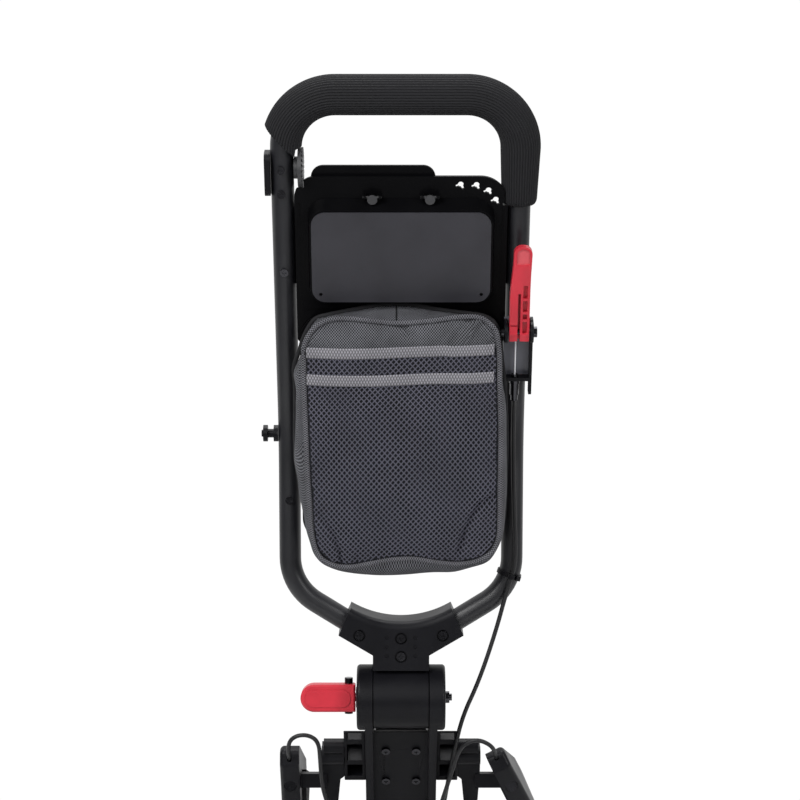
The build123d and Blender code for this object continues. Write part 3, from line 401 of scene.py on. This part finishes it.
def line_of(obj):
    # Points of the route's smooth line
    mesh = bpy.data.meshes.new_from_object(obj)
    points = [v.co.copy() for v in mesh.vertices]
    bpy.data.meshes.remove(mesh)
    return points


def bungee(name, points):
    obj = route(name + "_cord", points)
    line = line_of(obj)
    obj.data.bevel_depth = CORD_D / 2
    obj.data.bevel_resolution = 4
    obj.data.use_fill_caps = True
    obj.data.materials.append(CORD)
    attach(obj, "frame")
    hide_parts(name)


def tube_mesh(line, r, count=14):
    verts, faces = [], []
    up = Vector((0, 1, 0))
    for i, p in enumerate(line):
        ahead = (line[min(i + 1, len(line) - 1)] - line[max(i - 1, 0)]).normalized()
        side = ahead.cross(up).normalized()
        up = side.cross(ahead).normalized()
        for k in range(count):
            a = 2 * math.pi * k / count
            verts.append(p + r * (math.cos(a) * side + math.sin(a) * up))
    for i in range(len(line) - 1):
        for k in range(count):
            m = (k + 1) % count
            faces.append((i * count + k, i * count + m, (i + 1) * count + m, (i + 1) * count + k))
    faces.append(tuple(range(count)))
    faces.append(tuple((len(line) - 1) * count + k for k in reversed(range(count))))
    return verts, faces


def brake_cable():
    guide = route("cable_route", CABLE)
    line = line_of(guide)
    bpy.data.objects.remove(guide)
    verts, faces = tube_mesh(line, CORD_D / 2)
    obj = piece("brake_cable_sheath", verts, faces, CORD, None)
    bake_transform(obj)
    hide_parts("brake_cable")


# Grip with lengthwise ribs
GRIP_R = 0.0217
GRIP_TAPER = 0.0026
GRIP_LEFT = 0.045
GRIP_RIGHT = 0.0615
RIBS = 44
RIB_STEPS = 8
RIB_DEPTH = 0.0011
BEND_STEPS = 28


def grip_line():
    # Points of the middle line with the outward direction and the radius
    low = LOOP_UP - TOP_R
    points = [(-LOOP_X, low - GRIP_LEFT * (1 - i / 12), -1, 0, GRIP_R) for i in range(12)]
    for i in range(BEND_STEPS + 1):
        a = math.pi - math.pi / 2 * i / BEND_STEPS
        points.append((-LOOP_X + TOP_R + TOP_R * math.cos(a), low + TOP_R * math.sin(a),
                       math.cos(a), math.sin(a), GRIP_R))
    for i in range(1, 12):
        x = -LOOP_X + TOP_R + (2 * LOOP_X - 2 * TOP_R) * i / 12
        points.append((x, LOOP_UP, 0, 1, GRIP_R))
    for i in range(BEND_STEPS + 1):
        a = math.pi / 2 - math.pi / 2 * i / BEND_STEPS
        points.append((LOOP_X - TOP_R + TOP_R * math.cos(a), low + TOP_R * math.sin(a),
                       math.cos(a), math.sin(a), GRIP_R))
    for i in range(1, 25):
        points.append((LOOP_X, low - GRIP_RIGHT * i / 24, 1, 0, GRIP_R - GRIP_TAPER * i / 24))
    return points


def grip():
    line = grip_line()
    count = RIBS * RIB_STEPS
    verts, faces = [], []
    for i, (x, z, nx, nz, size) in enumerate(line):
        left = len(line) - 1 - i
        trim = 0.0016 * max(0, 1 - left / 2) ** 2
        for k in range(count):
            a = 2 * math.pi * k / count
            groove = 0.5 - 0.5 * math.cos(RIBS * a)
            r = size - RIB_DEPTH * groove ** 2.2 - trim
            out = r * math.cos(a)
            px, pz = x + nx * out, z + nz * out
            if px < 0 and pz < 0.342:
                px = min(px, -0.1137)
            verts.append((px, -r * math.sin(a), pz))
    for i in range(len(line) - 1):
        for k in range(count):
            m = (k + 1) % count
            faces.append((i * count + k, (i + 1) * count + k, (i + 1) * count + m, i * count + m))
    last = (len(line) - 1) * count
    faces.append(tuple(last + k for k in range(count)))
    obj = piece("grip_ribbed", verts, faces, FOAM, None)
    work = bmesh.new()
    work.from_mesh(obj.data)
    trim_grip(work, (-LOOP_X, 0, 0.349), (1, 0, 1))
    bmesh.ops.recalc_face_normals(work, faces=work.faces[:])
    work.transform(UPPER)
    work.to_mesh(obj.data)
    work.free()
    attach(obj, "handle")
    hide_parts("grip")


def trim_grip(work, at, facing):
    geom = work.verts[:] + work.edges[:] + work.faces[:]
    cut = bmesh.ops.bisect_plane(work, geom=geom, plane_co=at, plane_no=facing, clear_inner=True)
    edges = [e for e in cut["geom_cut"] if isinstance(e, bmesh.types.BMEdge)]
    bmesh.ops.contextual_create(work, geom=edges)


# Storage bag, in the plane of the loop's bend: x, z and the distance towards the user, in mm
BAG_EDGE = [
    (-106, 120), (-105, 126), (-102, 134), (-97, 142), (-90, 149), (-80, 154), (-67, 156),
    (-47, 155),
    (-27, 153), (-5, 151), (17, 152), (37, 154), (57, 157), (73, 158), (85, 157), (94, 152),
    (102, 143),
    (105, 132), (107, 113), (108, 78), (110, 25), (110, -29), (110, -72), (109, -94), (104, -108),
    (95, -118), (80, -125), (60, -127), (39, -125), (14, -121), (-11, -122), (-32, -126),
    (-53, -130),
    (-69, -130), (-83, -125), (-92, -117), (-97, -104), (-100, -83), (-102, -50), (-104, -7),
    (-105, 36),
    (-106, 78), (-106, 99),
]
BAG_OUTER = [
    (-112, 111), (-110, 118), (-106, 128), (-100, 139), (-93, 146), (-83, 149), (-70, 152),
    (-50, 156),
    (-29, 160), (-5, 162), (18, 160), (38, 156), (59, 153), (75, 151), (88, 149), (98, 145),
    (105, 138),
    (109, 126), (111, 107), (115, 71), (118, 18), (118, -36), (117, -80), (113, -105), (107, -120),
    (97, -131), (81, -138), (60, -143), (39, -145), (14, -147), (-11, -148), (-32, -148),
    (-53, -146),
    (-70, -142), (-86, -134), (-95, -126), (-101, -117), (-106, -96), (-111, -69), (-117, -30),
    (-119, -4),
    (-118, 67), (-119, 90),
]
BAG_MIDDLE = Vector((0, 8))
BAG_NEAR = 86.0
BAG_BACK = 38.5
EDGE_STEPS = 5
PANEL_RINGS = 30
GUSSET_STEPS = 18
CREASES = [
    [(-95, -65), (-82, -81), (-74, -95), (-69, -109), (-67, -124)],
    [(103, -46), (88, -55), (78, -69), (70, -90), (64, -112)],
    [(-3, 150), (3, 145), (8, 139)],
]


def smooth_loop(points, steps):
    out = []
    for i in range(len(points)):
        a, b, c, d = [Vector(points[(i + k - 1) % len(points)]) for k in range(4)]
        for s in range(steps):
            t = s / steps
            out.append(0.5 * (2 * b + (c - a) * t + (2 * a - 5 * b + 4 * c - d) * t * t
                              + (3 * b - a - 3 * c + d) * t ** 3))
    return out


def bag_place(x, near, z):
    return MIDDLE @ Vector((x / 1000, -near / 1000, z / 1000))


def bump_at(x, z, cx, cz, wide, tall):
    return math.exp(-((x - cx) / wide) ** 2 - ((z - cz) / tall) ** 2)


def off_line(x, z, points):
    # Distance from a point to a line of short runs
    p = Vector((x, z))
    best = 1e9
    for a, b in zip(points, points[1:]):
        a, b = Vector(a), Vector(b)
        t = max(0, min(1, (p - a).dot(b - a) / (b - a).length_squared))
        best = min(best, (p - a - (b - a) * t).length)
    return best


def bag_swell(x, z, edge):
    # How far the front panel stands out: seam groove, filled middle, soft folds and creases
    near = -2.4 * math.exp(-((edge - 3.5) / 2.2) ** 2) + 3.6 * (1 - math.exp(-edge / 28))
    near += 1.3 * math.sin(x / 19 + z / 31) * math.sin(z / 47 + 0.7) * min(1, edge / 20)
    if z > 115:
        near += 3.2 * bump_at(x, z, -50, 142, 16, 7) + 3.0 * bump_at(x, z, 42, 142, 20, 7)
        near -= 2.6 * bump_at(x, z, -24, 138, 9, 9) + 2.2 * bump_at(x, z, -80, 134, 9, 12)
        slant = (x - 69) * 0.79 - (z - 139) * 0.61
        near += 3.0 * math.exp(-((slant - 3) / 4) ** 2) - 2.6 * math.exp(-((slant + 6) / 4) ** 2)
    for line in CREASES:
        away = off_line(x, z, line)
        fold = 1.6 * math.exp(-((away - 8) / 5) ** 2) - 6 * math.exp(-(away / 3.0) ** 2)
        near += fold * min(1, edge / 6)
    return near


def bag_body():
    edge = smooth_loop(BAG_EDGE, EDGE_STEPS)
    outer = smooth_loop(BAG_OUTER, EDGE_STEPS)
    count, middle = len(edge), BAG_MIDDLE
    verts, faces, uvs = [], [], []
    girth = [0.0]
    for i in range(count):
        girth.append(girth[-1] + (outer[(i + 1) % count] - outer[i]).length)
    for k in range(PANEL_RINGS, 0, -1):
        share = (k / PANEL_RINGS) ** 1.4
        for i in range(count):
            p = edge[i] + (middle - edge[i]) * share * 0.985
            depth = (middle - edge[i]).length * share
            verts.append((p.x, BAG_NEAR + bag_swell(p.x, p.y, depth), p.y))
            uvs.append((p.x, p.y))
    for j in range(GUSSET_STEPS + 1):
        t = j / GUSSET_STEPS
        for i in range(count):
            top = min(1, max(0, (outer[i].y - 112) / 34))
            mid = 60 - 18 * top
            inward = (middle - outer[i]).normalized() * (6 - 5 * top)
            back = outer[i] + inward
            if t < 0.5:
                f = t * math.pi
                p = edge[i] + (outer[i] - edge[i]) * math.sin(f)
                near = mid + (BAG_NEAR - mid) * math.cos(f)
            else:
                f = (t - 0.5) * math.pi
                p = back + (outer[i] - back) * math.cos(f)
                near = mid - (mid - BAG_BACK) * math.sin(f)
            along = girth[i]
            ripple = math.sin(along / 9 + 2.3 * math.sin(along / 41)) * math.sin(math.pi * t)
            p = p + (p - middle).normalized() * 0.7 * ripple
            verts.append((p.x, near, p.y))
            uvs.append((along, near))
    rows = PANEL_RINGS + GUSSET_STEPS + 1
    for r in range(rows - 1):
        for i in range(count):
            m = (i + 1) % count
            faces.append((r * count + i, r * count + m, (r + 1) * count + m, (r + 1) * count + i))
    faces.append(tuple(reversed(range(count))))
    faces.append(tuple((rows - 1) * count + i for i in range(count)))
    return verts, faces, uvs, edge


def with_uv(obj, uvs):
    layer = obj.data.uv_layers.new(name="weave")
    for loop in obj.data.loops:
        u, v = uvs[loop.vertex_index]
        layer.data[loop.index].uv = (u / 1000, v / 1000)


def inside(loop, x, z):
    hit = False
    for a, b in zip(loop, loop[1:] + loop[:1]):
        if (a.y > z) != (b.y > z) and x < a.x + (b.x - a.x) * (z - a.y) / (b.y - a.y):
            hit = not hit
    return hit


# Bands: name, height at the middle, slope and width
BANDS = (("bag_band_upper", 119.8, 0.0236, 12.0), ("bag_band_lower", 89.3, 0.0206, 12.4))
BAND_RISE = 1.4
NET_ANGLE = 49
NET_PITCH = ((1, 4.25), (-1, 4.55))
NET_STEP = 2.5
NET_MARGIN = 4.5
NET_RISE = 1.1
NET_OVER = 0.32
THREAD = ((-0.58, 0.0), (0.0, 0.55), (0.58, 0.0))


def band_line(x):
    # Middle height of the upper band at x
    return BANDS[0][1] + BANDS[0][2] * x


def net_threads(edge, reach):
    # Two crossing families of threads that go over and under each other
    small = [p + (BAG_MIDDLE - p).normalized() * NET_MARGIN for p in edge[::3]]
    verts, faces, uvs = [], [], []
    for turn, pitch in NET_PITCH:
        a = math.radians(NET_ANGLE) * turn
        along, across = Vector((math.cos(a), math.sin(a))), Vector((-math.sin(a), math.cos(a)))
        for k in range(-44, 45):
            run = []
            for i in range(-90, 91):
                bend = 1.6 * math.sin(i * NET_STEP / 46 + k * 0.11)
                p = along * i * NET_STEP + across * (k * pitch + bend)
                ok = p.y < band_line(p.x) and inside(small, p.x, p.y)
                if ok:
                    run.append((p, i, k))
                if run and (not ok or i == 90):
                    if len(run) > 2:
                        lay_thread(run, turn, across, pitch, reach, verts, faces, uvs)
                    run = []
    return verts, faces, uvs


def lay_thread(run, turn, across, pitch, reach, verts, faces, uvs):
    first = len(verts)
    for p, i, k in run:
        crossing = i * NET_STEP * math.sin(math.radians(2 * NET_ANGLE)) / pitch + k
        lift = NET_OVER * turn * math.cos(math.pi * crossing)
        base = reach(p.x, p.y) + NET_RISE + lift
        for side, high in THREAD:
            q = p + across * side
            verts.append((q.x, base + high, q.y))
            uvs.append((i * NET_STEP, side))
    for r in range(len(run) - 1):
        for c in range(2):
            a = first + r * 3 + c
            faces.append((a, a + 1, a + 4, a + 3))


def strip(points, high, rise, reach, uvs):
    # Woven band with rounded long edges lying on the front panel
    verts, faces = [], []
    across = [(-0.5, 0.0), (-0.46, 0.8), (-0.25, 1.1), (0, 1.15),
              (0.25, 1.1), (0.46, 0.8), (0.5, 0.0)]
    for x, z in points:
        near = max(reach(x, z + high * 0.4), reach(x, z), reach(x, z - high * 0.4))
        for share, up in across:
            verts.append((x, near + rise + up, z + share * high))
            uvs.append((x, share * high))
    for i in range(len(points) - 1):
        for c in range(len(across) - 1):
            a = i * len(across) + c
            faces.append((a, a + 1, a + len(across) + 1, a + len(across)))
    return verts, faces


def piping(line, near, wide, thick, uvs):
    # Folded binding tape that covers a seam
    verts, faces, count, girth = [], [], 10, 0.0
    for i, p in enumerate(line):
        out = (line[(i + 1) % len(line)] - line[i - 1]).normalized()
        side = Vector((-out.y, out.x))
        for k in range(count):
            a = 2 * math.pi * k / count
            q = p + side * wide * math.cos(a)
            verts.append((q.x, near + thick * math.sin(a), q.y))
            uvs.append((girth, 12 * k / count))
        girth += (line[(i + 1) % len(line)] - p).length
    for i in range(len(line)):
        n = (i + 1) % len(line)
        for k in range(count):
            m = (k + 1) % count
            faces.append((i * count + k, i * count + m, n * count + m, n * count + k))
    return verts, faces


def settle(obj, held, frames=14, cap=0.004):
    # Short cloth run that lets the filled pouch swell and crease between its held seams
    group = obj.vertex_groups.new(name="held")
    for index, weight in held.items():
        group.add([index], weight, "REPLACE")
    cloth = obj.modifiers.new("cloth", "CLOTH")
    rule = cloth.settings
    rule.quality = 6
    rule.mass = 0.25
    rule.tension_stiffness = 12
    rule.compression_stiffness = 12
    rule.shear_stiffness = 6
    rule.bending_stiffness = 0.3
    rule.vertex_group_mass = "held"
    rule.use_pressure = True
    rule.uniform_pressure_force = 2.5
    rule.effector_weights.gravity = 0.4
    cloth.collision_settings.use_collision = False
    scene = bpy.context.scene
    cloth.point_cache.frame_start = 1
    cloth.point_cache.frame_end = frames
    for f in range(1, frames + 1):
        scene.frame_set(f)
    shape = obj.evaluated_get(bpy.context.evaluated_depsgraph_get()).to_mesh()
    moved = [v.co.copy() for v in shape.vertices]
    obj.modifiers.remove(cloth)
    scene.frame_set(1)
    for v, co in zip(obj.data.vertices, moved):
        step = co - v.co
        v.co += step * min(1, cap / max(step.length, 1e-9))
    obj.data.update()
    obj.vertex_groups.remove(group)


def bag_piece(name, verts, faces, uvs, mat):
    obj = piece(name, [bag_place(*v) for v in verts], faces, mat, "handle")
    with_uv(obj, uvs)
    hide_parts("storage_bag")
    return obj


def storage_bag():
    verts, faces, uvs, edge = bag_body()
    body = bag_piece("bag_body", verts, faces, uvs, FABRIC)
    body.data.materials.append(BACKING)
    body.data.materials.append(CLOTH_BACK)
    low = len(edge) * PANEL_RINGS
    for poly in body.data.polygons:
        if all(v < low for v in poly.vertices):
            x = sum(verts[v][0] for v in poly.vertices) / len(poly.vertices)
            z = sum(verts[v][2] for v in poly.vertices) / len(poly.vertices)
            poly.material_index = 1 if z < band_line(x) else 0
    body.data.polygons[-1].material_index = 2
    count = len(edge)
    held = {i: 1.0 for i in range(len(verts) - 3 * count, len(verts))}
    held.update({i: 0.9 for i in range(low - count, low + 2 * count)})
    settle(body, held)
    back = MIDDLE.inverted() @ body.matrix_world
    verts = [back @ v.co for v in body.data.vertices]
    verts = [Vector((v.x, -v.y, v.z)) * 1000 for v in verts]
    edge = [Vector((v.x, v.z)) for v in verts[low:low + count]]
    tree = BVHTree.FromPolygons(verts, faces)

    def reach(x, z):
        hit = tree.ray_cast(Vector((x, 200, z)), Vector((0, -1, 0)))
        return hit[0].y if hit[0] else BAG_NEAR

    top = min(range(count), key=lambda i: (edge[i] - Vector((-4, 152))).length)
    line = [verts[low + j * count + top] for j in range(GUSSET_STEPS // 2 + 2)]
    seam, sides = tube_mesh([bag_place(p.x, p.y, p.z + 0.3) for p in line], 0.0008, 8)
    seam = piece("bag_seam", seam, sides, SEAM, "handle")
    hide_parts("storage_bag")
    verts, faces, uvs = net_threads(edge, reach)
    bag_piece("bag_net", verts, faces, uvs, NET)
    for name, level, slope, high in BANDS:
        points = [(x, level + slope * x + 0.5 * math.sin(x / 23)) for x in range(-103, 103, 3)]
        uvs = []
        verts, faces = strip(points, high, BAND_RISE, reach, uvs)
        bag_piece(name, verts, faces, uvs, BAND)
    uvs = []
    verts, faces = piping(edge, BAG_NEAR + 0.4, 2.9, 1.9, uvs)
    bag_piece("bag_piping", verts, faces, uvs, PIPING)
    uvs = []
    verts, faces = piping(smooth_loop(BAG_OUTER, EDGE_STEPS), BAG_BACK + 4, 2.6, 2.2, uvs)
    bag_piece("bag_back_binding", verts, faces, uvs, CLOTH_BACK)


# Studio: bright wall of light behind the cart, dimmer room on the camera's side
FLOOR_R = 1.4
FLOOR_SIDES = 96
AIM = (0, -0.15, 0.8)
CAMERA_AT = (-0.0012, -2.3216, 0.9335)
CAMERA_PITCH = math.radians(88)
CAMERA_LENS = 85.05


def studio():
    scene = bpy.context.scene
    scene.view_settings.view_transform = "Standard"
    world = bpy.data.worlds.new("studio")
    scene.world = world
    world.use_nodes = True
    tree = world.node_tree
    where = tree.nodes.new("ShaderNodeTexCoord").outputs["Generated"]
    split = tree.nodes.new("ShaderNodeSeparateXYZ")
    tree.links.new(where, split.inputs["Vector"])
    depth = calc(tree, "MULTIPLY_ADD", split.outputs["Y"], 0.5, 0.5)
    tone = ramp(tree, depth, (0.12, 0.12, 0.125, 1), (1, 1, 1, 1), 0.4, 0.8)
    tree.links.new(tone, tree.nodes["Background"].inputs["Color"])
    tree.nodes["Background"].inputs["Strength"].default_value = 1.02
    turns = [2 * math.pi * i / FLOOR_SIDES for i in range(FLOOR_SIDES)]
    ring = [(FLOOR_R * math.cos(a), FLOOR_R * math.sin(a), 0) for a in turns]
    mesh = bpy.data.meshes.new("floor")
    mesh.from_pydata(ring, [], [tuple(range(FLOOR_SIDES))])
    mesh.materials.append(grain("floor", (0.72, 0.72, 0.72), 0.75, 300, 0.00002, vary=0.02))
    floor = bpy.data.objects.new("floor", mesh)
    scene.collection.objects.link(floor)


def lamp(name, place, target, size, power, tall=None):
    data = bpy.data.lights.new(name, "AREA")
    data.energy = power
    data.shape = "RECTANGLE"
    data.size = size
    data.size_y = tall or size
    obj = bpy.data.objects.new(name, data)
    obj.location = place
    obj.rotation_euler = (Vector(target) - Vector(place)).to_track_quat("-Z", "Y").to_euler()
    bpy.context.scene.collection.objects.link(obj)


def camera():
    data = bpy.data.cameras.new("camera")
    data.lens = CAMERA_LENS
    data.sensor_width = 36
    obj = bpy.data.objects.new("camera", data)
    obj.location = CAMERA_AT
    obj.rotation_euler = (CAMERA_PITCH, 0, 0)
    bpy.context.scene.collection.objects.link(obj)
    bpy.context.scene.camera = obj


camera()
studio()
lamp("key", (-1.7, -2.3, 2.3), AIM, 0.9, 85, 1.8)
lamp("fill", (1.9, -2.0, 1.6), AIM, 0.8, 42, 1.8)
lamp("strip", (-0.45, -2.9, 1.5), AIM, 0.3, 14, 1.8)
lamp("top", (0, 0.1, 2.9), (0, -0.1, 0.6), 1.4, 45)
dress_cad()
brake_cable()
bungee("bungee_left", LEFT_BUNGEE)
bungee("bungee_right", RIGHT_BUNGEE)
grip()
storage_bag()
